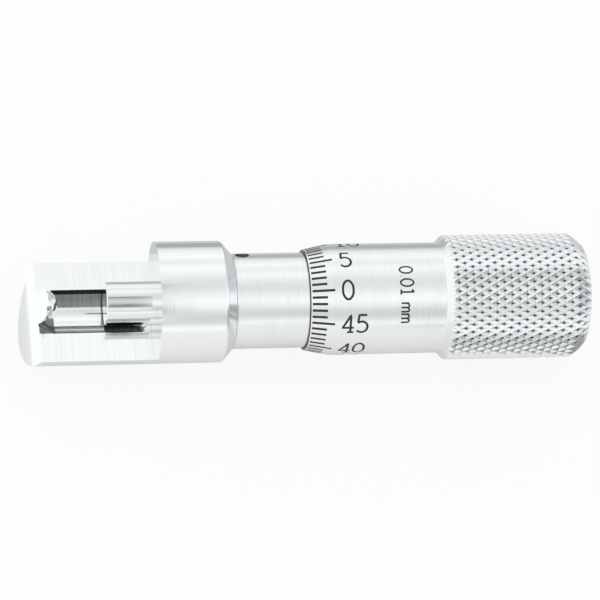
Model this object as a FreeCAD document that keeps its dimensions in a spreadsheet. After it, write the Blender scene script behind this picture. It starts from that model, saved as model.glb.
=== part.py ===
import FreeCAD, Part
import os
import Sketcher

# Can seam micrometer, in millimetres.
# Each piece is turned about its own X axis and starts at its own left end.
# In the model the axis lies level along X, the milled flat faces up, and the knurl rests on Z = 0.

SIZES = {
    # Head: nose and collar from one bar
    "head_radius": 8.87,
    "flat_below_axis": 1.87,
    "end_slant": 18.06,
    "nose_length": 19.25,
    "collar_length": 9.6,
    "collar_chamfer_length": 1.55,
    "collar_end_radius": 7.03,
    "channel_radius": 4.14,
    "channel_end_length": 1.05,
    "pocket_length": 1.75,
    "pocket_end_radius": 3.15,
    "end_wall": 0.31,
    "guide_clearance": 0.02,
    "barrel_seat_depth": 4.8,
    # Anvil
    "anvil_radius": 2.7,
    "anvil_shoulder": 0.45,
    "ball_radius": 2.22,
    "ball_beyond_end": 0.03,
    # Spindle
    "spindle_radius": 3.175,
    "spindle_edge": 0.12,
    "spindle_plain_length": 27.9,
    "undercut_length": 1.0,
    "undercut_depth": 0.25,
    "screw_radius": 3.55,
    "screw_length": 23.4,
    "neck_length": 4.8,
    "neck_depth": 0.25,
    "taper_large_radius": 3.3,
    "taper_small_radius": 2.75,
    "cap_thread_radius": 1.5,
    "cap_thread_depth": 7.0,
    "spindle_end_gap": 0.6177,
    # Reading shown at rest
    "reading": 6.85,
    # Inner barrel and its nut
    "barrel_seat_radius": 5.2,
    "barrel_radius": 5.93,
    "barrel_length": 19.95,
    "barrel_bore_clearance": 0.2,
    "screw_clearance": 0.03,
    "nut_thread_length": 9.0,
    "split_width": 0.8,
    "split_length": 9.5,
    "split_count": 3,
    "tail_length": 6.5,
    "tail_large_radius": 5.5,
    "tail_small_radius": 5.3,
    "nut_radius": 6.6,
    "nut_length": 3.8,
    "nut_from_tail_end": 1.4,
    "nut_clearance": 0.02,
    "nut_slot_width": 1.4,
    "nut_slot_depth": 0.7,
    "nut_slot_count": 4,
    # Sleeve
    "sleeve_radius": 6.96,
    "sleeve_length": 19.65,
    "sleeve_gap": 0.06,
    "sleeve_clearance": 0.03,
    "sleeve_edge": 0.15,
    "spanner_hole_radius": 1.05,
    "spanner_hole_from_end": 1.5,
    "spanner_hole_angle": 40,
    # Thimble
    "zero_from_collar": 3.8,
    "thimble_clearance": 0.07,
    "thimble_lip": 0.31,
    "bevel_length": 3.6,
    "thimble_radius": 8.12,
    "thimble_plain_length": 16.4,
    "grip_radius": 9.18,
    "grip_length": 19.05,
    "knurl_depth": 0.4,
    "knurl_width": 1.3,
    "knurl_count": 34,
    "grip_chamfer_length": 1.7,
    "thimble_end_radius": 7.4,
    "thimble_bore_depth": 27.8,
    "taper_clearance": 0.02,
    "cap_recess_radius": 5.6,
    "cap_recess_depth": 4.7,
    "recess_edge": 0.25,
    # Thimble cap
    "cap_clearance": 0.04,
    "cap_seat_gap": 0.05,
    "cap_below_end": 0.2,
    "cap_edge": 0.4,
    "cap_slot_width": 1.2,
    "cap_slot_depth": 1.2,
}

document = FreeCAD.newDocument("SeamMicrometer")
sheet = document.addObject("Spreadsheet::Sheet", "Sizes")
for row, (name, size) in enumerate(SIZES.items(), start=1):
    sheet.set("A%d" % row, name)
    sheet.set("B%d" % row, str(size))
    sheet.setAlias("B%d" % row, name)
document.recompute()


def named(formula):
    """A formula of plain size names, written the way the sheet is addressed."""
    words = []
    for word in formula.replace("(", "( ").replace(")", " )").split():
        words.append("Sizes." + word if word in SIZES else word)
    return " ".join(words)


def value(formula):
    return float(sheet.evalExpression(named(formula)))


# Places that several pieces share, as formulas of the sizes
SLANT = "( tan( end_slant * 1 deg ) )"
END_ON_AXIS = "head_radius * " + SLANT
COLLAR_END = "( nose_length + collar_length + collar_chamfer_length )"
BALL_CENTRE = "( " + END_ON_AXIS + " + ball_beyond_end )"
ANVIL_START = "( ( head_radius - anvil_radius ) * " + SLANT + " )"
FACE = "( " + BALL_CENTRE + " + ball_radius + reading )"
THIMBLE_START = "( " + COLLAR_END + " + zero_from_collar + reading )"
THIMBLE_STEP = "grip_radius - thimble_radius"
THIMBLE_LENGTH = "( bevel_length + thimble_plain_length + " + THIMBLE_STEP + " + grip_length + grip_chamfer_length )"
RECESS_FLOOR = "( " + THIMBLE_START + " + " + THIMBLE_LENGTH + " - cap_recess_depth )"
TAPER_START = "( spindle_plain_length + undercut_length + screw_length + neck_length )"
# The taper ends a named gap short of the cap recess, whatever moves
TAPER_LENGTH = "( " + RECESS_FLOOR + " - spindle_end_gap - " + FACE + " - " + TAPER_START + " )"
SPINDLE_LENGTH = "( " + TAPER_START + " + " + TAPER_LENGTH + " )"
BARREL_BORE = "( screw_radius + barrel_bore_clearance )"
BARREL_START = "( " + COLLAR_END + " - barrel_seat_depth )"
BARREL_TOTAL = "( barrel_seat_depth + barrel_length + tail_length )"
SLEEVE_BORE = "( barrel_radius + sleeve_clearance )"
THIMBLE_BORE = "( sleeve_radius + thimble_clearance )"
OVERALL = "( " + THIMBLE_START + " + " + THIMBLE_LENGTH + " )"


def new_body(name, start):
    body = document.addObject("PartDesign::Body", name)
    body.Label = name
    body.setExpression("Placement.Base.x", named(start + " - " + OVERALL + " / 2"))
    body.setExpression("Placement.Base.z", named("grip_radius"))
    return body


def origin_plane(body, role):
    for feature in body.Origin.OriginFeatures:
        if feature.Role == role:
            return feature
    raise ValueError(role)


def new_sketch(body, name, role):
    sketch = body.newObject("Sketcher::SketchObject", name)
    sketch.AttachmentSupport = (origin_plane(body, role), [""])
    sketch.MapMode = "FlatFace"
    return sketch


def place(sketch, edge, end, across, up):
    """Hold one point of a sketch at its two formulas; 0 puts it on the sketch's own axis."""
    for kind, formula, axis in (("DistanceX", across, -2), ("DistanceY", up, -1)):
        if formula == "0":
            sketch.addConstraint(Sketcher.Constraint("PointOnObject", edge, end, axis))
            continue
        label = "%s_%d_%d" % (kind, edge, end)
        index = sketch.addConstraint(Sketcher.Constraint(kind, -1, 1, edge, end, value(formula)))
        sketch.renameConstraint(index, label)
        sketch.setExpression("Constraints." + label, named(formula))


def outline(sketch, corners):
    """A closed outline of straight edges through corners that are pairs of formulas."""
    points = [FreeCAD.Vector(value(across), value(up), 0) for across, up in corners]
    following = points[1:] + points[:1]
    edges = [sketch.addGeometry(Part.LineSegment(a, b)) for a, b in zip(points, following)]
    for edge, after in zip(edges, edges[1:] + edges[:1]):
        sketch.addConstraint(Sketcher.Constraint("Coincident", edge, 2, after, 1))
    for edge, (across, up) in zip(edges, corners):
        place(sketch, edge, 1, across, up)


def turned(body, name, corners):
    """A solid of revolution about X from half of its section."""
    sketch = new_sketch(body, name + "Section", "XZ_Plane")
    outline(sketch, corners)
    feature = body.newObject("PartDesign::Revolution", name)
    feature.Profile = sketch
    feature.ReferenceAxis = (sketch, ["H_Axis"])
    feature.Angle = 360
    return feature


def bored(body, name, corners):
    """A turned hole about X from half of its section."""
    sketch = new_sketch(body, name + "Section", "XZ_Plane")
    outline(sketch, corners)
    feature = body.newObject("PartDesign::Groove", name)
    feature.Profile = sketch
    feature.ReferenceAxis = (sketch, ["H_Axis"])
    feature.Angle = 360
    return feature


def milled(body, name, role, corners, through=True, reversed_cut=False):
    """A straight cut of the outline: through everything both ways, or one way only."""
    sketch = new_sketch(body, name + "Outline", role)
    outline(sketch, corners)
    feature = body.newObject("PartDesign::Pocket", name)
    feature.Profile = sketch
    feature.Type = 1
    feature.Midplane = through
    feature.Reversed = reversed_cut
    return feature


def must_cut(body, feature, before):
    """Stop if a cut took nothing away, and give the volume that is left."""
    document.recompute()
    left = feature.Shape.Volume
    if not 0 < left < before - 0.001:
        raise ValueError("%s in %s cut nothing" % (feature.Name, body.Label))
    return left


def head_frame():
    """Nose, collar and chamfer, milled flat, slanted end, channel and bores."""
    body = new_body("head_frame", "0")
    bar = turned(body, "HeadBar", [
        ("0", "0"),
        ("0", "head_radius"),
        ("nose_length + collar_length", "head_radius"),
        (COLLAR_END, "collar_end_radius"),
        (COLLAR_END, "0"),
    ])
    document.recompute()
    volume = bar.Shape.Volume
    flat = milled(body, "HeadFlat", "XZ_Plane", [
        ("0 - 1", "0 - flat_below_axis"),
        ("nose_length", "0 - flat_below_axis"),
        ("nose_length", "head_radius + 1"),
        ("0 - 1", "head_radius + 1"),
    ])
    volume = must_cut(body, flat, volume)
    end = milled(body, "HeadEnd", "XZ_Plane", [
        ("0 - " + SLANT, "0 - head_radius - 1"),
        ("( 2 * head_radius + 1 ) * " + SLANT, "head_radius + 1"),
        ("0 - 2", "head_radius + 1"),
        ("0 - 2", "0 - head_radius - 1"),
    ])
    volume = must_cut(body, end, volume)
    wall = "( " + END_ON_AXIS + " - flat_below_axis * " + SLANT + " + end_wall )"
    guide = "( spindle_radius + guide_clearance )"
    channel_end = "( nose_length - channel_radius + " + guide + " - channel_end_length )"
    bores = bored(body, "HeadBores", [
        ("0 - 1", "0"),
        ("0 - 1", "anvil_radius"),
        (wall, "anvil_radius"),
        (wall, "pocket_end_radius"),
        (wall + " + pocket_length", "channel_radius"),
        (channel_end, "channel_radius"),
        (channel_end + " + channel_radius - " + guide, guide),
        (BARREL_START, guide),
        (BARREL_START, "barrel_seat_radius"),
        (COLLAR_END + " + 1", "barrel_seat_radius"),
        (COLLAR_END + " + 1", "0"),
    ])
    must_cut(body, bores, volume)
    return body


def anvil():
    """A pin with a shoulder and a ball nose, its back cut flush with the slanted end."""
    body = new_body("anvil", ANVIL_START)
    shoulder = "( anvil_radius * " + SLANT + " + anvil_shoulder )"
    centre = "( anvil_radius * " + SLANT + " + ball_beyond_end )"
    sketch = new_sketch(body, "AnvilSection", "XZ_Plane")
    corners = [("0", "0"), ("0", "anvil_radius"), (shoulder, "anvil_radius")]
    reach = value(shoulder) - value(centre)
    start = FreeCAD.Vector(value(shoulder), (value("ball_radius") ** 2 - reach ** 2) ** 0.5, 0)
    points = [FreeCAD.Vector(value(across), value(up), 0) for across, up in corners] + [start]
    edges = [sketch.addGeometry(Part.LineSegment(a, b)) for a, b in zip(points, points[1:])]
    middle = FreeCAD.Vector(value(centre), 0, 0)
    circle = Part.Circle(middle, FreeCAD.Vector(0, 0, 1), value("ball_radius"))
    arc = sketch.addGeometry(Part.ArcOfCircle(circle, 0, circle.parameter(start)))
    tip = middle + FreeCAD.Vector(value("ball_radius"), 0, 0)
    back = sketch.addGeometry(Part.LineSegment(tip, points[0]))
    for edge, after in zip(edges, edges[1:]):
        sketch.addConstraint(Sketcher.Constraint("Coincident", edge, 2, after, 1))
    sketch.addConstraint(Sketcher.Constraint("Coincident", edges[-1], 2, arc, 2))
    sketch.addConstraint(Sketcher.Constraint("Coincident", arc, 1, back, 1))
    sketch.addConstraint(Sketcher.Constraint("Coincident", back, 2, edges[0], 1))
    for edge, (across, up) in zip(edges, corners):
        place(sketch, edge, 1, across, up)
    sketch.addConstraint(Sketcher.Constraint("Vertical", edges[-1]))
    sketch.addConstraint(Sketcher.Constraint("Horizontal", back))
    place(sketch, arc, 3, centre, "0")
    index = sketch.addConstraint(Sketcher.Constraint("Radius", arc, value("ball_radius")))
    sketch.renameConstraint(index, "ball")
    sketch.setExpression("Constraints.ball", named("ball_radius"))
    pin = body.newObject("PartDesign::Revolution", "AnvilPin")
    pin.Profile = sketch
    pin.ReferenceAxis = (sketch, ["H_Axis"])
    pin.Angle = 360
    document.recompute()
    end = milled(body, "AnvilEnd", "XZ_Plane", [
        ("0 - " + SLANT, "0 - anvil_radius - 1"),
        ("( 2 * anvil_radius + 1 ) * " + SLANT, "anvil_radius + 1"),
        ("0 - 2", "anvil_radius + 1"),
        ("0 - 2", "0 - anvil_radius - 1"),
    ])
    must_cut(body, end, pin.Shape.Volume)
    return body


def inner_barrel():
    """Pressed into the collar; its split, tapered tail is the nut of the screw."""
    body = new_body("inner_barrel", BARREL_START)
    thread_start = "( " + BARREL_TOTAL + " - nut_thread_length )"
    bore = BARREL_BORE
    thread = "( screw_radius + screw_clearance )"
    tube = turned(body, "BarrelTube", [
        ("0", bore),
        ("0", "barrel_seat_radius"),
        ("barrel_seat_depth", "barrel_seat_radius"),
        ("barrel_seat_depth", "barrel_radius"),
        ("barrel_seat_depth + barrel_length", "barrel_radius"),
        ("barrel_seat_depth + barrel_length", "tail_large_radius"),
        (BARREL_TOTAL, "tail_small_radius"),
        (BARREL_TOTAL, thread),
        (thread_start, thread),
        (thread_start, bore),
    ])
    document.recompute()
    volume = tube.Shape.Volume
    split = milled(body, "BarrelSplit", "XY_Plane", [
        (BARREL_TOTAL + " - split_length", "0 - split_width / 2"),
        (BARREL_TOTAL + " + 1", "0 - split_width / 2"),
        (BARREL_TOTAL + " + 1", "split_width / 2"),
        (BARREL_TOTAL + " - split_length", "split_width / 2"),
    ], through=False, reversed_cut=True)
    volume = must_cut(body, split, volume)
    splits = body.newObject("PartDesign::PolarPattern", "BarrelSplits")
    splits.Originals = [split]
    splits.Axis = (split.Profile[0], ["H_Axis"])
    splits.Angle = 360
    splits.setExpression("Occurrences", named("split_count"))
    body.Tip = splits
    must_cut(body, splits, volume)
    return body


def tail_radius(from_tail_end):
    """The radius of the barrel's tapered tail at a place counted back from its end."""
    slope = "( tail_large_radius - tail_small_radius ) / tail_length"
    return "( tail_small_radius + nut_clearance + " + slope + " * ( " + from_tail_end + " ) )"


def adjusting_nut():
    """A round nut on the tapered tail, with spanner slots in its free face."""
    start = "( " + BARREL_START + " + " + BARREL_TOTAL + " - nut_from_tail_end - nut_length )"
    body = new_body("adjusting_nut", start)
    ring = turned(body, "NutRing", [
        ("0", tail_radius("nut_from_tail_end + nut_length")),
        ("0", "nut_radius"),
        ("nut_length", "nut_radius"),
        ("nut_length", tail_radius("nut_from_tail_end")),
    ])
    document.recompute()
    volume = ring.Shape.Volume
    slot = milled(body, "NutSlot", "XY_Plane", [
        ("nut_length - nut_slot_depth", "0 - nut_slot_width / 2"),
        ("nut_length + 1", "0 - nut_slot_width / 2"),
        ("nut_length + 1", "nut_slot_width / 2"),
        ("nut_length - nut_slot_depth", "nut_slot_width / 2"),
    ], through=False, reversed_cut=True)
    volume = must_cut(body, slot, volume)
    slots = body.newObject("PartDesign::PolarPattern", "NutSlots")
    slots.Originals = [slot]
    slots.Axis = (slot.Profile[0], ["H_Axis"])
    slots.Angle = 360
    slots.setExpression("Occurrences", named("nut_slot_count"))
    body.Tip = slots
    must_cut(body, slots, volume)
    return body


def sleeve():
    """A thin tube that turns stiffly on the barrel, with a hole for a pin spanner."""
    body = new_body("sleeve", "( " + COLLAR_END + " + sleeve_gap )")
    tube = turned(body, "SleeveTube", [
        ("0", SLEEVE_BORE),
        ("0", "sleeve_radius - sleeve_edge"),
        ("sleeve_edge", "sleeve_radius"),
        ("sleeve_length - sleeve_edge", "sleeve_radius"),
        ("sleeve_length", "sleeve_radius - sleeve_edge"),
        ("sleeve_length", SLEEVE_BORE),
    ])
    document.recompute()
    volume = tube.Shape.Volume
    sketch = new_sketch(body, "SpannerHoleOutline", "XZ_Plane")
    sketch.AttachmentOffset = FreeCAD.Placement(
        FreeCAD.Vector(0, 0, 0), FreeCAD.Rotation(FreeCAD.Vector(1, 0, 0), value("90 - spanner_hole_angle")))
    sketch.setExpression("AttachmentOffset.Rotation.Angle", named("90 - spanner_hole_angle"))
    centre = FreeCAD.Vector(value("spanner_hole_from_end"), 0, 0)
    ring = sketch.addGeometry(Part.Circle(centre, FreeCAD.Vector(0, 0, 1), value("spanner_hole_radius")))
    place(sketch, ring, 3, "spanner_hole_from_end", "0")
    index = sketch.addConstraint(Sketcher.Constraint("Radius", ring, value("spanner_hole_radius")))
    sketch.renameConstraint(index, "hole")
    sketch.setExpression("Constraints.hole", named("spanner_hole_radius"))
    hole = body.newObject("PartDesign::Pocket", "SpannerHole")
    hole.Profile = sketch
    hole.Type = 1
    must_cut(body, hole, volume)
    return body


def spindle():
    """Ground measuring end, screw, taper for the thimble and a tapped end."""
    body = new_body("spindle", FACE)
    undercut_end = "( spindle_plain_length + undercut_length )"
    screw_end = "( " + undercut_end + " + screw_length )"
    turned(body, "SpindleBar", [
        ("0", "0"),
        ("0", "spindle_radius - spindle_edge"),
        ("spindle_edge", "spindle_radius"),
        ("spindle_plain_length", "spindle_radius"),
        ("spindle_plain_length", "spindle_radius - undercut_depth"),
        (undercut_end, "spindle_radius - undercut_depth"),
        (undercut_end, "screw_radius"),
        (screw_end, "screw_radius"),
        (screw_end, "screw_radius - neck_depth"),
        (TAPER_START, "screw_radius - neck_depth"),
        (TAPER_START, "taper_large_radius - taper_clearance"),
        (SPINDLE_LENGTH, "taper_small_radius - taper_clearance"),
        (SPINDLE_LENGTH, "cap_thread_radius + cap_clearance"),
        (SPINDLE_LENGTH + " - cap_thread_depth", "cap_thread_radius + cap_clearance"),
        (SPINDLE_LENGTH + " - cap_thread_depth - cap_thread_radius", "0"),
    ])
    document.recompute()
    return body


def thimble():
    """Bevelled front, plain band, thicker fluted grip, bore, taper seat and cap recess."""
    body = new_body("thimble", THIMBLE_START)
    plain_end = "( bevel_length + thimble_plain_length )"
    grip_start = "( " + plain_end + " + grip_radius - thimble_radius )"
    grip_end = "( " + grip_start + " + grip_length )"
    length = THIMBLE_LENGTH
    recess = "( " + length + " - cap_recess_depth )"
    slope = "( taper_large_radius - taper_small_radius ) / " + TAPER_LENGTH
    from_taper = "( " + THIMBLE_START + " - " + FACE + " - " + TAPER_START + " )"
    wide = "( taper_large_radius - " + slope + " * ( thimble_bore_depth + " + from_taper + " ) )"
    narrow = "( taper_large_radius - " + slope + " * ( " + recess + " + " + from_taper + " ) )"
    shell = turned(body, "ThimbleShell", [
        ("0", THIMBLE_BORE),
        ("0", THIMBLE_BORE + " + thimble_lip"),
        ("bevel_length", "thimble_radius"),
        (plain_end, "thimble_radius"),
        (grip_start, "grip_radius"),
        (grip_end, "grip_radius"),
        (length, "thimble_end_radius"),
        (length, "cap_recess_radius + recess_edge"),
        (length + " - recess_edge", "cap_recess_radius"),
        (recess, "cap_recess_radius"),
        (recess, narrow),
        ("thimble_bore_depth", wide),
        ("thimble_bore_depth", THIMBLE_BORE),
    ])
    document.recompute()
    volume = shell.Shape.Volume
    groove = milled(body, "KnurlGroove", "YZ_Plane", [
        ("grip_radius - knurl_depth", "0"),
        ("grip_radius + knurl_depth", "knurl_width"),
        ("grip_radius + knurl_depth", "0 - knurl_width"),
    ])
    # The first groove faces sideways, so a count of 4n + 2 leaves a land for it to rest on
    volume = must_cut(body, groove, volume)
    grooves = body.newObject("PartDesign::PolarPattern", "KnurlGrooves")
    grooves.Originals = [groove]
    grooves.Axis = (groove.Profile[0], ["N_Axis"])
    grooves.Angle = 360
    grooves.setExpression("Occurrences", named("knurl_count"))
    body.Tip = grooves
    must_cut(body, grooves, volume)
    return body


def thimble_cap():
    """A slotted screw whose wide head fills the end of the thimble."""
    head_start = "( " + RECESS_FLOOR + " + cap_seat_gap )"
    spindle_end = "( " + FACE + " + " + SPINDLE_LENGTH + " )"
    shank = "( cap_thread_depth - 1 + " + head_start + " - " + spindle_end + " )"
    body = new_body("thimble_cap", "( " + head_start + " - " + shank + " )")
    total = "( " + shank + " + cap_recess_depth - cap_seat_gap - cap_below_end )"
    head_radius = "( cap_recess_radius - cap_clearance )"
    screw = turned(body, "CapScrew", [
        ("0", "0"),
        ("0", "cap_thread_radius - cap_edge"),
        ("cap_edge", "cap_thread_radius"),
        (shank, "cap_thread_radius"),
        (shank, head_radius),
        (total + " - cap_edge", head_radius),
        (total, head_radius + " - cap_edge"),
        (total, "0"),
    ])
    document.recompute()
    slot = milled(body, "CapSlot", "XY_Plane", [
        (total + " - cap_slot_depth", "0 - cap_slot_width / 2"),
        (total + " + 1", "0 - cap_slot_width / 2"),
        (total + " + 1", "cap_slot_width / 2"),
        (total + " - cap_slot_depth", "cap_slot_width / 2"),
    ])
    must_cut(body, slot, screw.Shape.Volume)
    return body


pieces = [
    head_frame(),
    anvil(),
    inner_barrel(),
    adjusting_nut(),
    sleeve(),
    spindle(),
    thimble(),
    thimble_cap(),
]
document.recompute()

for item in document.Objects:
    if "Invalid" in item.State or "Error" in item.State:
        raise RuntimeError("%s failed: %s" % (item.Name, item.State))
for piece in pieces:
    if piece.Shape.isNull() or not piece.Shape.isValid() or not piece.Shape.Solids:
        raise RuntimeError("%s has no valid solid" % piece.Label)

os.makedirs("parts", exist_ok=True)
for piece in pieces:
    piece.Shape.exportStep("parts/%s.step" % piece.Label)
    box = piece.Shape.BoundBox
    print("%-14s %9.2f mm3  x %8.3f to %8.3f  z %7.3f to %7.3f" % (
        piece.Label, piece.Shape.Volume, box.XMin, box.XMax, box.ZMin, box.ZMax))
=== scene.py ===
import bpy
import math
from mathutils import Matrix, Quaternion, Vector


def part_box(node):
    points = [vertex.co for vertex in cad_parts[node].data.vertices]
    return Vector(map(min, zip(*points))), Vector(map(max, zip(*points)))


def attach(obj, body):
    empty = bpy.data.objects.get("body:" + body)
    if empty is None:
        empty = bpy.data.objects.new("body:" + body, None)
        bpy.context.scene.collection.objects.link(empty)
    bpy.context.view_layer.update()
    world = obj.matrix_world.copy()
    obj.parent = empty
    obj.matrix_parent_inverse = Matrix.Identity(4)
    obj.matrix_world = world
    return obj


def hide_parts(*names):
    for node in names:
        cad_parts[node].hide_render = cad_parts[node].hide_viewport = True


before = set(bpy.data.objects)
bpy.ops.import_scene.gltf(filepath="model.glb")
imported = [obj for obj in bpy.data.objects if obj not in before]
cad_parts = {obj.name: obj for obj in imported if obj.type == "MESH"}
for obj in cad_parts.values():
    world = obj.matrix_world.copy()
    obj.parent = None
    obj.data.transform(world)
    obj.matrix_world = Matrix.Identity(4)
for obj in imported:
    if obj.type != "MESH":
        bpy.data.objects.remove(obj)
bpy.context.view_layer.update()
mm = 0.001
axisHeight = (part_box("thimble")[0].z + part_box("thimble")[1].z) / 2
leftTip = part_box("head_frame")[0].x / mm      # millimetres, as all lengths below
print("frame loaded, axis at %.2f mm" % (axisHeight / mm))


# ---- shader values ----

class Value:
    # one output of a node; plain arithmetic on it adds Math nodes
    def __init__(self, tree, socket):
        self.tree = tree
        self.socket = socket

    def node(self, kind, settings=None, inputs=None, output=0):
        made = self.tree.nodes.new(kind)
        for name, setting in (settings or {}).items():
            if name == "stops":
                ramp = made.color_ramp
                while len(ramp.elements) > 1:
                    ramp.elements.remove(ramp.elements[-1])
                ramp.elements[0].position = setting[0][0]
                ramp.elements[0].color = (*setting[0][1], 1)
                for place, colour in setting[1:]:
                    ramp.elements.new(place).color = (*colour, 1)
            else:
                setattr(made, name, setting)
        for name, value in (inputs or {}).items():
            if isinstance(value, Value):
                self.tree.links.new(value.socket, made.inputs[name])
            else:
                made.inputs[name].default_value = value
        return Value(self.tree, made.outputs[output]) if made.outputs else None

    def atLeast(self, other):
        return self.calc("MAXIMUM", self, other)

    def calc(self, operation, first, second):
        return self.node("ShaderNodeMath", {"operation": operation}, {0: first, 1: second})

    def __add__(self, other):
        return self.calc("ADD", self, other)

    def __radd__(self, other):
        return self.calc("ADD", other, self)

    def __sub__(self, other):
        return self.calc("SUBTRACT", self, other)

    def __rsub__(self, other):
        return self.calc("SUBTRACT", other, self)

    def __mul__(self, other):
        return self.calc("MULTIPLY", self, other)

    def __pow__(self, other):
        return self.calc("POWER", self, other)

    def rise(self, low, high):
        # 0 at low and 1 at high, held there outside
        return self.node("ShaderNodeMapRange", {"interpolation_type": "SMOOTHSTEP"},
                         {"Value": self, "From Min": low, "From Max": high})

    def between(self, first, second):
        # this value mixes two colours
        return self.node("ShaderNodeMix", {"data_type": "RGBA"}, {0: self, 6: first, 7: second}, 2)


def newMaterial(name):
    material = bpy.data.materials.new(name)
    material.use_nodes = True
    tree = material.node_tree
    tree.nodes.clear()
    start = Value(tree, None)
    place = start.node("ShaderNodeTexCoord", output=3)
    return material, start, place


def finishMaterial(start, sockets):
    shader = start.node("ShaderNodeBsdfPrincipled", inputs=sockets)
    start.node("ShaderNodeOutputMaterial", inputs={"Surface": shader})


def grain(start, place, scale, stretch, detail=3.0):
    laid = start.node("ShaderNodeMapping", inputs={"Vector": place, "Scale": stretch})
    return start.node("ShaderNodeTexNoise", inputs={
        "Vector": laid, "Scale": scale, "Detail": detail, "Roughness": 0.55})


markDepth = 0.00001     # metres


def bumped(start, height, strength):
    return start.node("ShaderNodeBump", inputs={"Strength": strength, "Distance": markDepth, "Height": height})


# the two shades of each metal, and its tool marks: how many to a metre, how far they run and how deep they look
metals = {
    "groundSteel": {"bright": (0.965, 0.97, 0.97), "dull": (0.895, 0.91, 0.912),
                    "rough": 0.09, "roughSpread": 0.05, "lines": 5200, "across": 0.012, "bump": 0.06},
    "lappedSteel": {"bright": (0.95, 0.955, 0.955), "dull": (0.9, 0.91, 0.915),
                    "rough": 0.06, "roughSpread": 0.03, "lines": 6000, "across": 0.012, "bump": 0.04},
    "satinChrome": {"bright": (0.965, 0.97, 0.975), "dull": (0.935, 0.94, 0.945),
                    "rough": 0.19, "roughSpread": 0.04, "lines": 3600, "across": 0.03, "bump": 0.03},
    "bluedSteel": {"bright": (0.05, 0.052, 0.058), "dull": (0.02, 0.021, 0.024),
                   "rough": 0.35, "roughSpread": 0.1, "lines": 3000, "across": 0.05, "bump": 0.05},
}


def parts(vector):
    # the three numbers of a vector
    split = vector.node("ShaderNodeSeparateXYZ", inputs={"Vector": vector})
    return [Value(split.tree, output) for output in split.socket.node.outputs]


def fromAxis(place):
    # along the instrument, how far out from its axis, and how far towards the far side
    along, across, up = parts(place)
    up = up - axisHeight
    return along, (across * across + up * up) ** 0.5, across


# the colour of the painted shade and painted dark reflections on the head
paintedShadeColour = (0.008, 0.02, 0.018)


def metal(name, sizes, paintedShading=None):
    material, start, place = newMaterial(name)
    marks = grain(start, place, sizes["lines"], (1, sizes["across"], sizes["across"]))
    clouds = grain(start, place, 180, (1, 1, 1), 2.0)
    mask = marks.rise(0.36, 0.66)
    colour = (mask * 0.8 + clouds * 0.2).between((*sizes["dull"], 1), (*sizes["bright"], 1))
    rough = sizes["rough"] + (1 - mask) * sizes["roughSpread"] + (clouds - 0.5) * 0.05
    # painted shade: a dark colour mixed in where the head's masks put shadows and dark reflections
    if paintedShading:
        paintedShade, smoothPart = paintedShading(place, marks, clouds)
        colour = smoothPart.between(colour, (*sizes["bright"], 1))
        colour = paintedShade.between(colour, (*paintedShadeColour, 1))
        rough = rough + paintedShade * 0.15
    finishMaterial(start, {"Base Color": colour, "Metallic": 1.0, "Roughness": rough,
                           "Normal": bumped(start, marks, sizes["bump"])})
    return material


# where each painted shade of the head begins and ends, in millimetres from the tip along the instrument
paintedShadePlaces = {
    "under": (11.95, 12.15, 17.0, 18.0), "corner": (2.3, 2.5, 4.8, 4.95), "beside": (11.6, 13.2, 14.5, 17.5),
    "foot": (16.6, 19.2, 19.22, 19.26), "channel": (4.4, 4.6, 17.1, 17.3),
}
# and how dark each is, from 0 to 1
paintedShadeDepths = {"under": 0.985, "corner": 0.7, "beside": 0.55, "foot": 0.3,
               "farWallShade": 0.62, "edge": 0.3, "line": 0.7, "rim": 0.9}


def inside(value, low, lowEnd, highStart, high):
    # 1 between two places in millimetres, with soft ends
    return value.rise(low * mm, lowEnd * mm) * (1 - value.rise(highStart * mm, high * mm))


def headStains(place, marks, clouds):
    # painted shade and reflections: a painted shadow under the spindle in the channel's near side, painted shade in the
    # near corner of the anvil's pocket, painted shadow and reflection of the spindle on the flat beside it, painted
    # shade along the milling marks at the foot of the collar; painted dark reflections on the channel's far wall, both
    # edges and one line
    along, radius, across = fromAxis(place)
    fromTip = along - leftTip * mm
    depths = paintedShadeDepths
    inBore = 1 - radius.rise(4.16 * mm, 4.3 * mm)
    near = 1 - across.rise(-1.5 * mm, -0.9 * mm)
    nearer = 1 - across.rise(0.1 * mm, 0.9 * mm)
    # painted shadow under the spindle, painted shade in the pocket's corner, painted shadow and reflection of the
    # spindle beside the channel
    under = inside(fromTip, *paintedShadePlaces["under"]) * inBore * near
    corner = inside(fromTip, *paintedShadePlaces["corner"]) * inBore * nearer
    beside = (1 - radius.rise(4.1 * mm, 5.6 * mm)) * near * inside(fromTip, *paintedShadePlaces["beside"])
    # painted shade along the milling marks at the collar's foot
    foot = inside(fromTip, *paintedShadePlaces["foot"]) * marks.rise(0.35, 0.75)
    # painted dark reflections in the channel: darker on its far wall and upper edge, along one line and at its near rim
    channel = inside(fromTip, *paintedShadePlaces["channel"]) * inBore
    farWallShade = across.rise(1.75 * mm, 2.0 * mm) * (depths["farWallShade"] + marks * 0.2 - clouds * 0.12)
    edge = across.rise(3.3 * mm, 3.45 * mm) * depths["edge"]
    line = inside(across, 0.85, 0.95, 1.02, 1.12) * clouds.rise(0.35, 0.6) * depths["line"]
    rim = (1 - across.rise(-3.55 * mm, -3.4 * mm)) * depths["rim"]
    paintedShade = (under * depths["under"] + corner * depths["corner"] + beside * depths["beside"] * (0.6 + clouds * 0.8)
             + foot * depths["foot"] + channel * (farWallShade + edge + line + rim)).rise(0.0, 1.0)
    return paintedShade, fromTip.rise(19.2 * mm, 19.3 * mm).atLeast(inBore)


groundSteel = metal("groundSteel", metals["groundSteel"])
headSteel = metal("headSteel", metals["groundSteel"], headStains)
lappedSteel = metal("lappedSteel", metals["lappedSteel"])
satinChrome = metal("satinChrome", metals["satinChrome"])
bluedSteel = metal("bluedSteel", metals["bluedSteel"])

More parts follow.
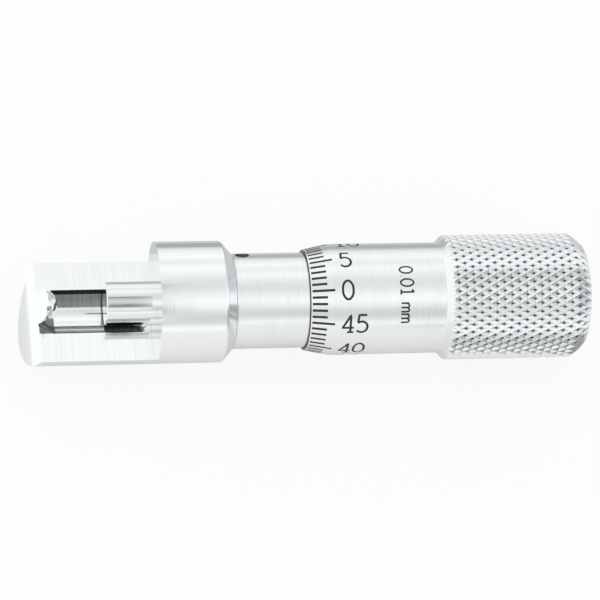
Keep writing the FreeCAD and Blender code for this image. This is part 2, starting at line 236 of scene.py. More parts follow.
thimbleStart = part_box("thimble")[0].x / mm
# start and end are counted from the thimble's front edge; past the end the rings follow the chamfer,
# gently from "gentle" before it and steeply from "steep" after it
knurl = {"start": 21.06, "end": 40.11, "radius": 9.18, "depth": 0.42, "around": 88, "step": 1.12, "tip": 0.1,
         "rings": 20, "before": 0.45, "gentle": 0.46, "gentleSlope": 0.6, "steep": 0.66, "steepSlope": 0.45}


def thimbleMetal():
    # satin chrome, with painted shade and dirt darkening the knurl's valleys and walls, and a painted dark reflection
    # on the front edge
    sizes = metals["satinChrome"]
    material, start, place = newMaterial("thimbleChrome")
    marks = grain(start, place, sizes["lines"], (1, sizes["across"], sizes["across"]))
    clouds = grain(start, place, 420, (1, 1, 1), 2.0)
    along, radius = fromAxis(place)[:2]
    gripStart, gripEnd = thimbleStart + knurl["start"], thimbleStart + knurl["end"]
    depth = knurl["depth"] * mm
    onGrip = inside(along, gripStart + 0.05, gripStart + 0.2, gripEnd + 1.5, gripEnd + 1.6)
    onGrip = onGrip * radius.rise(6.7 * mm, 6.9 * mm)      # and not inside the end's recess
    pastEnd = along - gripEnd * mm
    inwards = ((pastEnd + knurl["gentle"] * mm).atLeast(0) * knurl["gentleSlope"]
               + (pastEnd - knurl["steep"] * mm).atLeast(0) * knurl["steepSlope"])
    below = knurl["radius"] * mm - inwards - radius
    walls = below.rise(0.1 * depth, 0.7 * depth)
    bottoms = below.rise(0.62 * depth, 0.92 * depth)
    # painted shade and dirt: darker the deeper below the knurl's tips
    dirtAndShade = onGrip * (walls * 0.3 + bottoms * (0.45 + clouds * 0.9)).rise(0, 1)
    # painted dark reflection on the thimble's front edge
    edge = 1 - along.rise((thimbleStart + 0.09) * mm, (thimbleStart + 0.14) * mm)
    clean = marks.rise(0.36, 0.66).between((*sizes["dull"], 1), (*sizes["bright"], 1))
    shadedAndDirty = (dirtAndShade * 0.95).between(clean, (0.04, 0.055, 0.052, 1))
    colour = edge.between(shadedAndDirty, (0.01, 0.012, 0.012, 1))
    rough = sizes["rough"] + (1 - marks) * sizes["roughSpread"] + dirtAndShade * 0.3
    finishMaterial(start, {"Base Color": colour, "Metallic": 1.0, "Roughness": rough,
                           "Normal": bumped(start, marks, sizes["bump"])})
    return material


def blackFill():
    material, start, place = newMaterial("blackFill")
    specks = grain(start, place, 2500, (1, 1, 1))
    colour = specks.rise(0.35, 0.75).between((0.008, 0.009, 0.01, 1), (0.03, 0.032, 0.034, 1))
    finishMaterial(start, {"Base Color": colour, "Roughness": 0.5 + specks * 0.2,
                           "Normal": bumped(start, specks, 0.3)})
    return material


thimbleChrome = thimbleMetal()
blackPaint = blackFill()
print("materials made")


# ---- shaping ----

def freshStart():
    if bpy.context.object and bpy.context.object.mode != "OBJECT":
        bpy.ops.object.mode_set(mode="OBJECT")
    bpy.ops.object.select_all(action="DESELECT")


def pick(obj):
    freshStart()
    obj.select_set(True)
    bpy.context.view_layer.objects.active = obj


def apply(obj, kind, **settings):
    pick(obj)
    modifier = obj.modifiers.new(kind, kind)
    for name, setting in settings.items():
        setattr(modifier, name, setting)
    bpy.ops.object.modifier_apply(modifier=modifier.name)


def settle(obj):
    # the object goes to the origin and its place into its mesh
    pick(obj)
    bpy.ops.object.transform_apply(location=True, rotation=True, scale=True)


def smooth(obj, angle=30):
    pick(obj)
    bpy.ops.object.shade_smooth_by_angle(angle=math.radians(angle))
    # the large faces keep their own direction, so that they mirror truly up to their edges
    apply(obj, "WEIGHTED_NORMAL", mode="FACE_AREA", weight=100, keep_sharp=True)


def dress(obj, material, body, slot, *nodes):
    obj.data.materials.clear()
    obj.data.materials.append(material)
    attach(obj, body)
    if nodes:
        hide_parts(*nodes)


def softened(profile):
    # a third number on a corner rounds it by that much
    points = []
    for i, corner in enumerate(profile):
        here = Vector(corner[:2])
        if len(corner) < 3:
            points.append(here)
            continue
        before = Vector(profile[i - 1][:2]) - here
        after = Vector(profile[(i + 1) % len(profile)][:2]) - here
        before = before.normalized() * corner[2]
        after = after.normalized() * corner[2]
        for t in (0, 0.25, 0.5, 0.75, 1):
            points.append(here + before * (1 - t) ** 2 + after * t ** 2)
    return points


def turned(name, profile, steps):
    # a closed section of (along, radius) corners in millimetres, spun round the instrument's axis
    points = softened(profile)
    freshStart()
    bpy.ops.mesh.primitive_circle_add(vertices=len(points), radius=0.01)
    obj = bpy.context.object
    obj.name = name
    for vertex, point in zip(obj.data.vertices, points):
        vertex.co = (point.x * mm, 0, axisHeight + point.y * mm)
    bpy.ops.object.mode_set(mode="EDIT")
    bpy.ops.mesh.select_all(action="SELECT")
    bpy.ops.mesh.spin(steps=steps, angle=2 * math.pi, center=(0, 0, axisHeight), axis=(1, 0, 0))
    bpy.ops.mesh.select_all(action="SELECT")
    bpy.ops.mesh.remove_doubles(threshold=0.000001)
    bpy.ops.mesh.dissolve_degenerate(threshold=0.0000005)
    bpy.ops.mesh.select_all(action="SELECT")
    bpy.ops.mesh.normals_make_consistent(inside=False)
    bpy.ops.object.mode_set(mode="OBJECT")
    return obj


def cutAway(obj, cutter, operation="DIFFERENCE"):
    apply(obj, "BOOLEAN", operation=operation, object=cutter, solver="EXACT")
    bpy.data.objects.remove(cutter)


def cutterBox(low, high):
    freshStart()
    size = Vector(high) - Vector(low)
    bpy.ops.mesh.primitive_cube_add(size=1, location=(Vector(low) + size / 2) * mm)
    box = bpy.context.object
    box.scale = size * mm
    settle(box)
    return box


# ---- head ----

head = {
    "radius": 8.87, "nose": 19.25, "collar": 9.6, "chamfer": 1.55, "endRadius": 7.03,
    "flat": 1.87, "slant": 18.06, "channel": 4.14, "channelEnd": 17.255, "guide": 3.195,
    "pocketStart": 2.592, "pocketEnd": 4.342, "pocketRadius": 3.15, "pin": 2.7, "edge": 0.1,
    "seatRadius": 5.2, "seatDepth": 4.8,
}


def slantedCut(obj, reach):
    # everything left of the slanted end plane goes
    box = cutterBox((leftTip - 40, -20, -20), (leftTip, 20, 40))
    foot = Vector((leftTip * mm, 0, axisHeight - head["radius"] * mm))
    lean = Matrix.Rotation(math.radians(head["slant"]), 4, "Y")
    box.data.transform(Matrix.Translation(foot) @ lean @ Matrix.Translation(-foot))
    cutAway(obj, box)


def makeHead():
    x = leftTip
    tip = head["nose"] + head["collar"]
    end = tip + head["chamfer"]
    ramp = head["channel"] - head["guide"]
    body = turned("headFrame", [
        (x - 1, head["pin"]), (x - 1, head["radius"]),
        (x + tip, head["radius"], 0.25), (x + end, head["endRadius"], 0.12),
        (x + end, head["seatRadius"]), (x + end - head["seatDepth"], head["seatRadius"]),
        (x + end - head["seatDepth"], head["guide"]),
        (x + head["channelEnd"] + ramp, head["guide"]), (x + head["channelEnd"], head["channel"]),
        (x + head["pocketEnd"], head["channel"]), (x + head["pocketStart"], head["pocketRadius"]),
        (x + head["pocketStart"], head["pin"]),
    ], 192)
    level = axisHeight / mm - head["flat"]
    cutAway(body, cutterBox((x - 5, -12, level), (x + head["nose"], 12, 40)))
    slantedCut(body, head["radius"])
    apply(body, "BEVEL", width=head["edge"] * mm, segments=2, limit_method="ANGLE",
          angle_limit=math.radians(38), use_clamp_overlap=True)
    smooth(body)
    dress(body, headSteel, "frame", "ground_steel", "head_frame")


anvil = {"ball": 2.22, "beyondEnd": 0.03, "shoulder": 0.42, "steps": 16}


def makeAnvil():
    centre = leftTip + head["radius"] * math.tan(math.radians(head["slant"])) + anvil["beyondEnd"]
    ball, steps = anvil["ball"], anvil["steps"]
    shoulder = centre + anvil["shoulder"]
    start = math.acos((shoulder - centre) / ball)
    nose = []
    for i in range(steps):
        turn = start * (1 - i / steps)
        nose.append((centre + ball * math.cos(turn), ball * math.sin(turn)))
    back = [(leftTip - 1, 0), (leftTip - 1, head["pin"]), (shoulder, head["pin"], 0.06)]
    pin = turned("anvilPin", back + nose + [(centre + ball, 0)], 96)
    slantedCut(pin, head["pin"])
    smooth(pin)
    dress(pin, lappedSteel, "frame", "lapped_steel", "anvil")


spindle = {
    "radius": 3.175, "edge": 0.12, "plain": 27.9, "undercutEnd": 28.9, "undercut": 2.925,
    "screwEnd": 52.3, "screw": 3.55, "neck": 3.3, "taper": 8.45, "taperWide": 3.28, "taperNarrow": 2.73,
    "hole": 1.54, "holeDepth": 7, "drillTip": 1.5,
}


def makeSpindle():
    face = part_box("spindle")[0].x / mm
    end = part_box("spindle")[1].x / mm
    radius, edge, hole = spindle["radius"], spindle["edge"], spindle["hole"]
    plain, undercutEnd = face + spindle["plain"], face + spindle["undercutEnd"]
    screwEnd = face + spindle["screwEnd"]
    taper, holeEnd = end - spindle["taper"], end - spindle["holeDepth"]
    bar = turned("spindleBar", [
        (face, 0), (face, radius - edge), (face + edge, radius, 0.04), (plain, radius), (plain, spindle["undercut"]),
        (undercutEnd, spindle["undercut"]), (undercutEnd, spindle["screw"]),
        (screwEnd, spindle["screw"]), (screwEnd, spindle["neck"]), (taper, spindle["neck"]),
        (taper, spindle["taperWide"]), (end, spindle["taperNarrow"]),
        (end, hole), (holeEnd, hole), (holeEnd - spindle["drillTip"], 0),
    ], 128)
    smooth(bar)
    dress(bar, lappedSteel, "spindle", "lapped_steel", "spindle")


sleeve = {"radius": 6.96, "bore": 5.96, "edge": 0.15, "hole": 1.05, "holeFromEnd": 1.5, "holeTurn": -40}


def makeSleeve():
    low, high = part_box("sleeve")
    start, end = low.x / mm, high.x / mm
    radius, bore, edge = sleeve["radius"], sleeve["bore"], sleeve["edge"]
    tube = turned("sleeveTube", [
        (start, bore), (start, radius - edge), (start + edge, radius),
        (end - edge, radius), (end, radius - edge), (end, bore),
    ], 160)
    freshStart()
    bpy.ops.mesh.primitive_cylinder_add(vertices=48, radius=sleeve["hole"] * mm, depth=6 * mm)
    pin = bpy.context.object
    foot = Matrix.Translation(((start + sleeve["holeFromEnd"]) * mm, 0, axisHeight))
    lean = Matrix.Rotation(math.radians(sleeve["holeTurn"]), 4, "X")     # from straight up towards the far side
    pin.data.transform(foot @ lean @ Matrix.Translation((0, 0, radius * mm)))
    cutAway(tube, pin)
    smooth(tube)
    dress(tube, satinChrome, "sleeve", "satin_chrome", "sleeve")


# ---- thimble ----

thimble = {
    "bore": 7.03, "lip": 7.34, "bevel": 3.6, "radius": 8.12, "shoulder": 20.0, "grip": 9.18,
    "endRadius": 7.4, "recess": 5.6, "recessDepth": 4.7, "recessEdge": 0.25,
    "boreDepth": 27.8, "seatWide": 3.2, "seatNarrow": 2.8,
}


def openChosen(obj, kind, test):
    # edit mode with only the vertices, edges or faces chosen that pass the test
    pick(obj)
    mesh = obj.data
    groups = {"VERT": mesh.vertices, "EDGE": mesh.edges, "FACE": mesh.polygons}
    bpy.context.tool_settings.mesh_select_mode = [kind == each for each in ("VERT", "EDGE", "FACE")]
    chosen = [test(part) for part in groups[kind]]
    for group in groups.values():
        group.foreach_set("select", [False] * len(group))
    groups[kind].foreach_set("select", chosen)
    bpy.ops.object.mode_set(mode="EDIT")
    bpy.ops.mesh.select_mode(type=kind)


def knurlCutter():
    rings = knurl["rings"]
    length = rings * knurl["step"]
    start = thimbleStart + knurl["start"] - knurl["before"]
    chamferStart = thimbleStart + knurl["end"]
    freshStart()
    bpy.ops.mesh.primitive_cylinder_add(
        vertices=knurl["around"], radius=knurl["radius"] * mm, depth=length * mm, end_fill_type="NGON",
        rotation=(0, math.pi / 2, 0), location=((start + length / 2) * mm, 0, axisHeight))
    cutter = bpy.context.object
    settle(cutter)
    mesh = cutter.data

    def lengthwise(edge):
        a, b = (mesh.vertices[i].co for i in edge.vertices)
        return abs(a.x - b.x) > 0.001

    def raised(vertex):
        # every other point of the grid, like the fields of a chess board
        ring = round((vertex.co.x / mm - start) / knurl["step"])
        turn = math.atan2(vertex.co.y, vertex.co.z - axisHeight) / (2 * math.pi) * knurl["around"]
        return (ring + math.floor(turn + 0.25)) % 2 == 1

    def pitBottom(vertex):
        return not raised(vertex) and start + 0.1 < vertex.co.x / mm < start + length - 0.1

    openChosen(cutter, "EDGE", lengthwise)
    bpy.ops.mesh.subdivide(number_cuts=rings - 1)
    bpy.ops.object.mode_set(mode="OBJECT")
    openChosen(cutter, "VERT", lambda vertex: not raised(vertex))
    shrink = (knurl["radius"] - knurl["depth"]) / knurl["radius"]
    bpy.ops.transform.resize(value=(1, shrink, shrink), center_override=(0, 0, axisHeight))
    bpy.ops.object.mode_set(mode="OBJECT")
    for ring in range(rings + 1):
        # past the grip's end the rings follow its chamfer inwards
        x = start + ring * knurl["step"]
        if x > chamferStart - knurl["gentle"]:
            openChosen(cutter, "VERT", lambda vertex: abs(vertex.co.x / mm - x) < 0.1)
            inwards = (x - chamferStart + knurl["gentle"]) * knurl["gentleSlope"]
            inwards += max(0, x - chamferStart - knurl["steep"]) * knurl["steepSlope"]
            shrink = 1 - inwards / knurl["radius"]
            bpy.ops.transform.resize(value=(1, shrink, shrink), center_override=(0, 0, axisHeight))
            bpy.ops.object.mode_set(mode="OBJECT")
    openChosen(cutter, "FACE", lambda face: len(face.vertices) == 4)
    bpy.ops.mesh.quads_convert_to_tris(quad_method="LONGEST_DIAGONAL")
    bpy.ops.object.mode_set(mode="OBJECT")
    openChosen(cutter, "VERT", pitBottom)
    bpy.ops.mesh.bevel(offset=knurl["tip"] * mm, affect="VERTICES", segments=1)
    bpy.ops.object.mode_set(mode="OBJECT")
    # in front of the grip it is a plain wide drum, so the rest of the thimble isn't cut
    openChosen(cutter, "FACE", lambda face: face.normal.x < -0.99 and len(face.vertices) > 40)
    bpy.ops.mesh.extrude_region_move(TRANSFORM_OT_translate={"value": (-0.00005, 0, 0)})
    bpy.ops.transform.resize(value=(1, 1.4, 1.4), center_override=(0, 0, axisHeight))
    bpy.ops.mesh.extrude_region_move(TRANSFORM_OT_translate={"value": (-0.03, 0, 0)})
    bpy.ops.object.mode_set(mode="OBJECT")
    return cutter


def makeThimble():
    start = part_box("thimble")[0].x / mm
    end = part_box("thimble")[1].x / mm
    shell = turned("thimbleShell", [
        (start, thimble["bore"]), (start, thimble["lip"], 0.05), (start + thimble["bevel"], thimble["radius"], 0.1),
        (start + thimble["shoulder"], thimble["radius"], 0.1), (start + knurl["start"], thimble["grip"], 0.06),
        (start + knurl["end"], thimble["grip"], 0.3), (end, thimble["endRadius"], 0.2),
        (end, thimble["recess"] + thimble["recessEdge"]), (end - thimble["recessEdge"], thimble["recess"]),
        (end - thimble["recessDepth"], thimble["recess"]), (end - thimble["recessDepth"], thimble["seatNarrow"]),
        (start + thimble["boreDepth"], thimble["seatWide"]), (start + thimble["boreDepth"], thimble["bore"]),
    ], 176)
    cutAway(shell, knurlCutter(), "INTERSECT")
    smooth(shell, 24)
    dress(shell, thimbleChrome, "thimble", "satin_chrome", "thimble")


cap = {"shank": 1.5, "head": 5.56, "headLength": 4.45, "edge": 0.4, "slotWidth": 1.2, "slotDepth": 1.2}


def makeCap():
    low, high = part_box("thimble_cap")
    start, end = low.x / mm, high.x / mm
    shank, wide, edge = cap["shank"], cap["head"], cap["edge"]
    under = end - cap["headLength"]
    screw = turned("thimbleCap", [
        (start, 0), (start, shank - edge), (start + edge, shank), (under, shank), (under, wide),
        (end - edge, wide, 0.08), (end, wide - edge, 0.08), (end, 0),
    ], 96)
    level, half = axisHeight / mm, cap["slotWidth"] / 2
    cutAway(screw, cutterBox((end - cap["slotDepth"], -8, level - half), (end + 1, 8, level + half)))
    smooth(screw)
    dress(screw, satinChrome, "thimble", "satin_chrome", "thimble_cap")


# ---- engraving ----
# strokes of plain figures, one unit high; "smooth" strokes run through their points as one curve

figures = {
    "0": [("ring", [(0.3, 1.0), (0.08, 0.82), (0.02, 0.5), (0.08, 0.18),
                    (0.3, 0.0), (0.52, 0.18), (0.58, 0.5), (0.52, 0.82)])],
    "1": [("straight", [(0.12, 0.84), (0.32, 1.0), (0.32, 0.0)]), ("straight", [(0.12, 0.0), (0.52, 0.0)])],
    "2": [("smooth", [(0.05, 0.76), (0.14, 0.93), (0.32, 1.0), (0.5, 0.93),
                      (0.56, 0.74), (0.46, 0.5), (0.24, 0.26), (0.04, 0.02)]),
          ("straight", [(0.04, 0.0), (0.6, 0.0)])],
    "3": [("smooth", [(0.06, 0.86), (0.2, 0.98), (0.36, 1.0), (0.52, 0.9), (0.53, 0.68), (0.4, 0.56), (0.24, 0.54)]),
          ("smooth", [(0.24, 0.54), (0.42, 0.52), (0.56, 0.4), (0.58, 0.2),
                      (0.46, 0.04), (0.28, 0.0), (0.14, 0.03), (0.03, 0.14)])],
    "4": [("straight", [(0.45, 0.0), (0.45, 1.0), (0.02, 0.28), (0.62, 0.28)]),
          ("straight", [(0.28, 0.0), (0.62, 0.0)])],
    "5": [("straight", [(0.54, 1.0), (0.13, 1.0), (0.08, 0.56)]),
          ("smooth", [(0.08, 0.56), (0.24, 0.63), (0.4, 0.61), (0.54, 0.5), (0.59, 0.31),
                      (0.53, 0.12), (0.38, 0.01), (0.2, 0.0), (0.03, 0.1)])],
    ".": [("straight", [(0.1, 0.0), (0.13, 0.02)])],
    "m": [("straight", [(0.03, 0.0), (0.03, 0.62)]),
          ("smooth", [(0.03, 0.44), (0.12, 0.58), (0.24, 0.62), (0.33, 0.56), (0.36, 0.42), (0.36, 0.0)]),
          ("smooth", [(0.36, 0.44), (0.45, 0.58), (0.57, 0.62), (0.66, 0.56), (0.69, 0.42), (0.69, 0.0)])],
    " ": [],
}
widths = {"0": 0.6, "1": 0.6, "2": 0.64, "3": 0.62, "4": 0.64, "5": 0.62, ".": 0.22, "m": 0.74, " ": 0.3}
letterGap = 0.12
longestPiece = 0.08
strokeRelief = 0.12     # the round wires are pressed this flat


def divided(points):
    # more points on straight strokes, so that they bend round the thimble with it
    close = [points[0]]
    for a, b in zip(points, points[1:]):
        pieces = max(1, math.ceil(math.dist(a, b) / longestPiece))
        for i in range(1, pieces + 1):
            close.append((a[0] + (b[0] - a[0]) * i / pieces, a[1] + (b[1] - a[1]) * i / pieces))
    return close


def strokeCurve(words, height, stroke):
    # the words as fine round wires in the XY plane, from the origin to the right, in millimetres
    curve = bpy.data.curves.new("strokes", "CURVE")
    curve.dimensions = "3D"
    curve.bevel_depth = stroke / 2 * mm
    curve.bevel_resolution = 1
    curve.use_fill_caps = True
    left = 0
    for letter in words:
        for kind, points in figures[letter]:
            if kind == "straight":
                points = divided(points)
            spline = curve.splines.new("BEZIER")
            spline.bezier_points.add(len(points) - 1)
            for bezier, (x, y) in zip(spline.bezier_points, points):
                bezier.co = ((left + x) * height * mm, y * height * mm, 0)
                bezier.handle_left_type = "VECTOR" if kind == "straight" else "AUTO"
                bezier.handle_right_type = bezier.handle_left_type
            spline.use_cyclic_u = kind == "ring"
            spline.resolution_u = 1 if kind == "straight" else 5
        left += widths[letter] + letterGap
    return curve, (left - letterGap) * height


def figureMesh(name, words, height, stroke, radius, x, turn, upright=True):
    # figures laid on a round of that radius: x is where they start,
    # and turn is in degrees from straight up towards the front
    curve, width = strokeCurve(words, height, stroke)
    freshStart()
    obj = bpy.data.objects.new(name, curve)
    bpy.context.scene.collection.objects.link(obj)
    pick(obj)
    bpy.ops.object.convert(target="MESH")
    obj = bpy.context.object
    for vertex in obj.data.vertices:
        a, b, c = vertex.co / mm
        if upright:
            along, around = x + a, b - height / 2
        else:
            along, around = x + b, width / 2 - a
        out = radius + c * strokeRelief
        angle = around / radius - math.radians(turn)
        vertex.co = (along * mm, out * math.sin(angle) * mm, axisHeight + out * math.cos(angle) * mm)
    pick(obj)
    bpy.ops.object.mode_set(mode="EDIT")
    bpy.ops.mesh.select_all(action="SELECT")
    bpy.ops.mesh.normals_make_consistent(inside=False)
    bpy.ops.object.mode_set(mode="OBJECT")
    return obj


def joined(name, objs):
    freshStart()
    for obj in objs:
        obj.select_set(True)
    bpy.context.view_layer.objects.active = objs[0]
    bpy.ops.object.join()
    objs[0].name = name
    return objs[0]


# a filled line is a bar sunk into the surface, so that only its top shows
lineDepth = 0.03
lineEdge = 0.008
lineSink = 0.003


def scaleLine(length, width, x, radius, slope, turn):
    # one line along the surface: it starts at x, where the surface has that radius and rises by slope degrees
    freshStart()
    bpy.ops.mesh.primitive_cube_add(size=1)
    line = bpy.context.object
    line.data.transform(Matrix.Diagonal((length * mm, width * mm, lineDepth * mm, 1)))
    apply(line, "BEVEL", width=lineEdge * mm, segments=1)
    lay = Matrix.Translation(((x + length / 2 * math.cos(math.radians(slope))) * mm, 0,
                              (radius + length / 2 * math.sin(math.radians(slope)) - lineSink) * mm))
    lay = lay @ Matrix.Rotation(math.radians(-slope), 4, "Y")
    line.data.transform(Matrix.Translation((0, 0, axisHeight)) @ Matrix.Rotation(math.radians(turn), 4, "X") @ lay)
    return line


def spinCopy(obj, degrees):
    # the same piece again, with its own mesh, turned round the instrument's axis
    pick(obj)
    bpy.ops.object.duplicate()
    twin = bpy.context.object
    about = Matrix.Translation((0, 0, axisHeight))
    twin.data.transform(about @ Matrix.Rotation(math.radians(degrees), 4, "X") @ about.inverted())
    return twin


thimbleMarks = {
    "zeroTurn": 24.5, "count": 50, "width": 0.36, "short": 2.2, "long": 3.3, "fromEdge": 0.3,
    "height": 2.75, "stroke": 0.34, "gap": 1.0,
    "unitHeight": 1.9, "unitStroke": 0.26, "unitStart": 13.2, "unitTurn": 30,
}


def makeThimbleScale():
    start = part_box("thimble")[0].x / mm
    sizes = thimbleMarks
    slope = math.degrees(math.atan2(thimble["radius"] - thimble["lip"], thimble["bevel"]))
    step = 360 / sizes["count"]
    lift = thimble["lip"] + sizes["fromEdge"] * math.tan(math.radians(slope))
    where = (start + sizes["fromEdge"], lift, slope, sizes["zeroTurn"])
    longLine = scaleLine(sizes["long"], sizes["width"], *where)
    shortLine = scaleLine(sizes["short"], sizes["width"], *where)
    lines = []
    for n in range(sizes["count"]):
        lines.append(spinCopy(longLine if n % 5 == 0 else shortLine, -step * n))
    bpy.data.objects.remove(longLine)
    bpy.data.objects.remove(shortLine)
    scale = joined("thimbleScale", lines)
    dress(scale, blackPaint, "thimble", "satin_chrome")
    numbers = []
    for n in range(0, sizes["count"], 5):
        numbers.append(figureMesh("figure%d" % n, str(n), sizes["height"], sizes["stroke"], thimble["radius"],
                                  start + thimble["bevel"] + sizes["gap"], sizes["zeroTurn"] - step * n))
    figuresOnBand = joined("thimbleFigures", numbers)
    smooth(figuresOnBand, 60)
    dress(figuresOnBand, blackPaint, "thimble", "satin_chrome")
    unit = figureMesh("thimbleUnit", "0.01 mm", sizes["unitHeight"], sizes["unitStroke"], thimble["radius"],
                      start + sizes["unitStart"], sizes["unitTurn"], upright=False)
    smooth(unit, 60)
    dress(unit, blackPaint, "thimble", "satin_chrome")


reading = 6.85
sleeveMarks = {
    "turn": 132.5, "zero": thimbleStart - reading, "travel": 13.0, "radius": sleeve["radius"], "width": 0.2,
    "tickWidth": 0.18, "tickLength": 1.5, "tickSink": 0.007, "fives": 1.5, "halves": 0.75,
    "height": 2.0, "stroke": 0.24, "figuresAway": 3.6,
}


def makeSleeveScale():
    sizes = sleeveMarks
    length, start = sizes["travel"] + 0.6, sizes["zero"] - 0.3
    lines = [scaleLine(length, sizes["width"], start, sizes["radius"], 0, sizes["turn"])]
    freshStart()
    bpy.ops.mesh.primitive_cube_add(size=1)
    tick = bpy.context.object
    tick.data.transform(Matrix.Diagonal((sizes["tickWidth"] * mm, sizes["tickLength"] * mm, lineDepth * mm, 1)))
    pick(tick)
    bpy.ops.object.mode_set(mode="EDIT")
    bpy.ops.mesh.select_all(action="SELECT")
    bpy.ops.mesh.subdivide(number_cuts=5)
    bpy.ops.object.mode_set(mode="OBJECT")
    for half in range(int(sizes["travel"] * 2) + 1):
        pick(tick)
        bpy.ops.object.duplicate()
        line = bpy.context.object
        place = sizes["zero"] + half / 2
        whole = half % 2 == 0
        grow = sizes["fives"] if half % 10 == 0 else 1.0
        for vertex in line.data.vertices:
            a, b, c = vertex.co / mm
            around = (b + sizes["tickLength"] / 2) * grow * (-1 if whole else sizes["halves"])
            out = sizes["radius"] - sizes["tickSink"] + c
            angle = around / sizes["radius"] - math.radians(sizes["turn"])
            vertex.co = ((place + a) * mm, out * math.sin(angle) * mm, axisHeight + out * math.cos(angle) * mm)
        pick(line)
        bpy.ops.object.mode_set(mode="EDIT")
        bpy.ops.mesh.select_all(action="SELECT")
        bpy.ops.mesh.normals_make_consistent(inside=False)
        bpy.ops.object.mode_set(mode="OBJECT")
        lines.append(line)
    bpy.data.objects.remove(tick)
    scale = joined("sleeveScale", lines)
    dress(scale, blackPaint, "sleeve", "satin_chrome")
    numbers = []
    for n in (0, 5, 10):
        shift = math.degrees(sizes["figuresAway"] / sizes["radius"])
        numbers.append(figureMesh("sleeveFigure%d" % n, str(n), sizes["height"], sizes["stroke"], sizes["radius"],
                                  sizes["zero"] + n - 0.6 * len(str(n)), sizes["turn"] + shift))
    figuresOnSleeve = joined("sleeveFigures", numbers)
    smooth(figuresOnSleeve, 60)
    dress(figuresOnSleeve, blackPaint, "sleeve", "satin_chrome")


# ---- surroundings ----

def roundAngle(place):
    # 0 to 1 round the instrument's axis: 0.5 is straight up and 0.75 towards the front
    across, up = parts(place)[1:]
    return place.calc("ARCTAN2", 0 - across, up - axisHeight) * (1 / (2 * math.pi)) + 0.5


def onlyMirrored(card):
    # the metal mirrors it, and nothing else sees it
    card.visible_camera = False
    card.visible_diffuse = False
    card.visible_transmission = False
    card.visible_shadow = False


def roundCard(name, low, high, radius, levels, tint):
    # part of a tube round the instrument; levels give its light by degrees from straight up towards the front
    freshStart()
    bpy.ops.mesh.primitive_cylinder_add(
        vertices=90, radius=radius * mm, depth=(high - low) * mm, end_fill_type="NOTHING",
        rotation=(0, math.pi / 2, 0), location=((low + high) / 2 * mm, 0, axisHeight))
    card = bpy.context.object
    card.name = name
    settle(card)
    first, last = min(levels), max(levels)

    def outside(face):
        turn = math.degrees(math.atan2(-face.center.y, face.center.z - axisHeight))
        return not first <= turn <= last

    openChosen(card, "FACE", outside)
    bpy.ops.mesh.delete(type="FACE")
    bpy.ops.object.mode_set(mode="OBJECT")
    material, start, place = newMaterial(name)
    brightest = max(levels.values())
    stops = [((turn + 180) / 360, tuple(level / brightest * part for part in tint)) for turn, level in levels.items()]
    ramp = start.node("ShaderNodeValToRGB", {"stops": stops}, {"Fac": roundAngle(place)})
    glow = start.node("ShaderNodeEmission", inputs={"Color": ramp, "Strength": brightest})
    start.node("ShaderNodeOutputMaterial", inputs={"Surface": glow})
    card.data.materials.append(material)
    onlyMirrored(card)


def flatCard(name, low, high, level):
    # a card lying just above the floor
    freshStart()
    bpy.ops.mesh.primitive_plane_add(size=1)
    card = bpy.context.object
    card.name = name
    size = Vector(high) - Vector(low)
    card.scale = (size.x * mm, size.y * mm, 1)
    card.location = ((low[0] + high[0]) / 2 * mm, (low[1] + high[1]) / 2 * mm, 0.00005)
    settle(card)
    material, start = newMaterial(name)[:2]
    colour = (level * 0.96, level * 1.02, level * 1.01, 1)
    glow = start.node("ShaderNodeEmission", inputs={"Color": colour, "Strength": 1.0})
    start.node("ShaderNodeOutputMaterial", inputs={"Surface": glow})
    card.data.materials.append(material)
    onlyMirrored(card)


studio = {
    # light by degrees from straight up towards the front; the collar and the thimble mirror the tent,
    # the spindle the banded panel, and the facets of the grip that face right its right part
    "tent": {-96: 0.5, -92: 0.55, -87: 0.74, -80: 0.9, -68: 0.98, -60: 1.04, -46: 0.87, -32: 1.04, -20: 0.94,
             -6: 0.8, 8: 0.8, 20: 0.92, 34: 1.06, 46: 0.96, 56: 0.74, 66: 0.64, 74: 0.74, 84: 1.03, 92: 0.95, 96: 0.84},
    "tentRadius": 250, "panelRadius": 249,
    "tentRight": {-96: 0.5, -60: 0.66, -20: 0.64, -4: 0.92, 20: 1.05, 44: 1.05, 54: 0.4, 84: 0.32, 96: 0.7},
    "bandedPanel": {-2: 0.6, 3: 0.25, 8: 0.5, 24: 0.72, 36: 0.55, 44: 0.2, 52: 0.3, 60: 0.9, 68: 1.04},
}


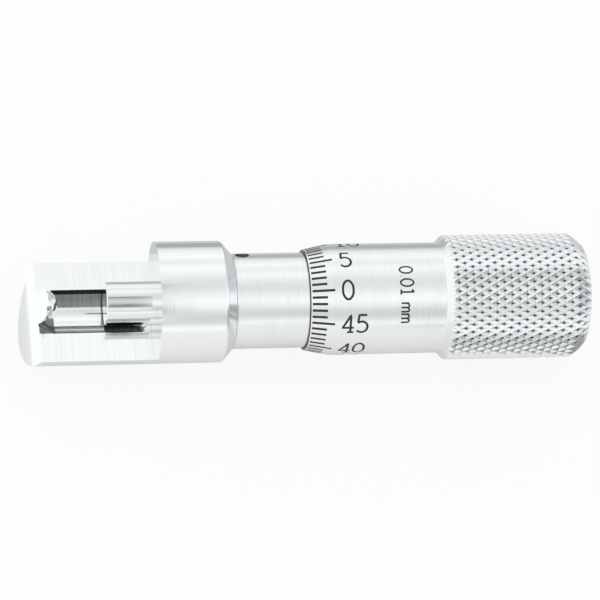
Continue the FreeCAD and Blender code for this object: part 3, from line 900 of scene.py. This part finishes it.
def makeStage():
    freshStart()
    bpy.ops.mesh.primitive_plane_add(size=3)
    floor = bpy.context.object
    floor.name = "floor"
    material, start = newMaterial("paleFloor")[:2]
    rays = start.node("ShaderNodeLightPath")
    isCamera, isGlossy, isTransmission = (Value(start.tree, rays.socket.node.outputs[name]) for name in (
        "Is Camera Ray", "Is Glossy Ray", "Is Transmission Ray"))
    matte = start.node("ShaderNodeBsdfDiffuse", inputs={"Color": (0.84, 0.85, 0.85, 1)})
    white = start.node("ShaderNodeEmission", inputs={"Color": (1, 1, 1, 1), "Strength": 1.0})
    whiter = (isCamera + isTransmission) * 0.88 + isGlossy * 0.15
    mixed = start.node("ShaderNodeMixShader", inputs={0: whiter, 1: matte, 2: white})
    start.node("ShaderNodeOutputMaterial", inputs={"Surface": mixed})
    floor.data.materials.append(material)

    # a plain white world; the darker bands in the metal come from the tent and the cards
    world = bpy.data.worlds.new("studio")
    bpy.context.scene.world = world
    world.use_nodes = True
    world.node_tree.nodes.clear()
    start = Value(world.node_tree, None)
    plain = start.node("ShaderNodeBackground", inputs={"Color": (1, 1, 1, 1), "Strength": 1.0})
    start.node("ShaderNodeOutputWorld", inputs={"Surface": plain})
    roundCard("tent", -130, 120, studio["tentRadius"], studio["tent"], (0.965, 1.0, 0.99))
    roundCard("tentRight", 120, 1000, studio["tentRadius"], studio["tentRight"], (0.96, 1.0, 1.03))
    roundCard("bandedPanel", -5, 7.9, studio["panelRadius"], studio["bandedPanel"], (0.95, 1.0, 0.985))
    flatCard("cardBehind", (-38, 15), (75, 40), 0.6)
    flatCard("cardFarBehind", (-38, 40), (90, 249), 0.42)
    flatCard("cardBeforeGrip", (45, -200), (160, -9.5), 0.3)
    flatCard("cardLeft", (-130, -60), (-44, 60), 1.08)


view = {"azimuth": -16.9, "elevation": 54.8, "roll": 12.87, "distance": 0.494, "aim": (-0.0007, 0.0, 0.00918),
        "lens": 202.4, "sensor": 36}


def makeCamera():
    turn, rise = math.radians(view["azimuth"]), math.radians(view["elevation"])
    back = Vector((math.sin(turn) * math.cos(rise), -math.cos(turn) * math.cos(rise), math.sin(rise)))
    lens = bpy.data.cameras.new("camera")
    camera = bpy.data.objects.new("camera", lens)
    bpy.context.scene.collection.objects.link(camera)
    lens.lens = view["lens"]
    lens.sensor_width = view["sensor"]
    lens.clip_start = 0.01
    camera.location = Vector(view["aim"]) + back * view["distance"]
    camera.rotation_mode = "QUATERNION"
    roll = Quaternion((0, 0, 1), math.radians(view["roll"]))
    camera.rotation_quaternion = (-back).to_track_quat("-Z", "Y") @ roll
    bpy.context.scene.camera = camera


makeCamera()
makeStage()
print("camera and studio set")
makeHead()
makeAnvil()
makeSpindle()
print("head, anvil and spindle turned")
makeSleeve()
makeThimble()
makeCap()
print("sleeve, thimble and cap turned, knurl cut")
makeThimbleScale()
makeSleeveScale()
print("engraving filled")
for name, material in (("inner_barrel", bluedSteel), ("adjusting_nut", groundSteel)):
    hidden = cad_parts[name]
    hidden.data.materials.clear()
    hidden.data.materials.append(material)

bpy.context.scene.view_settings.view_transform = "Standard"
